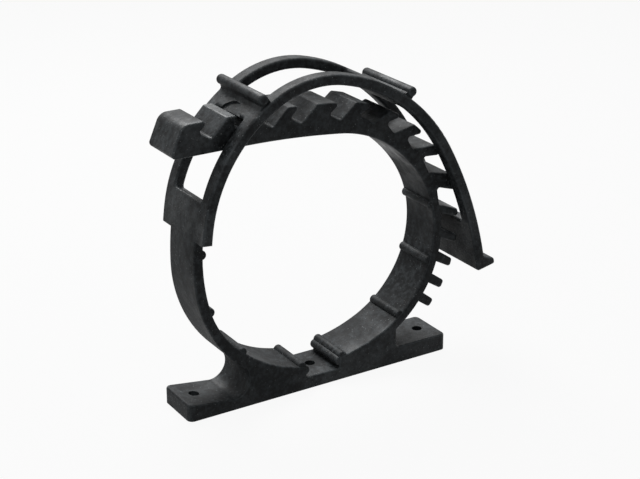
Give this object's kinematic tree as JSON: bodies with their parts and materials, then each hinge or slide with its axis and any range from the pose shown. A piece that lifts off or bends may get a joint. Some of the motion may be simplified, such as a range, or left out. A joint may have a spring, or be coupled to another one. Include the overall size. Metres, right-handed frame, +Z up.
{
  "type": "rubber clamp",
  "caption": "Moulded rubber clamp on a screw-down base: a ring for a pipe or hose, closed by a toothed arm that catches in a ladder strap.",
  "frame": {"origin": "midway between the two outer screw holes, on the underside of the base", "axes": "+Z up out of the base, +X along the base towards the side of the ring with the pegs, +Y across the base, along the pipe"},
  "size_m": [0.2405, 0.0562, 0.2182],
  "materials": {
    "rubber": "matte"
  },
  "bodies": {
    "root": {"clamp_body": "rubber"}
  },
  "joints": []
}
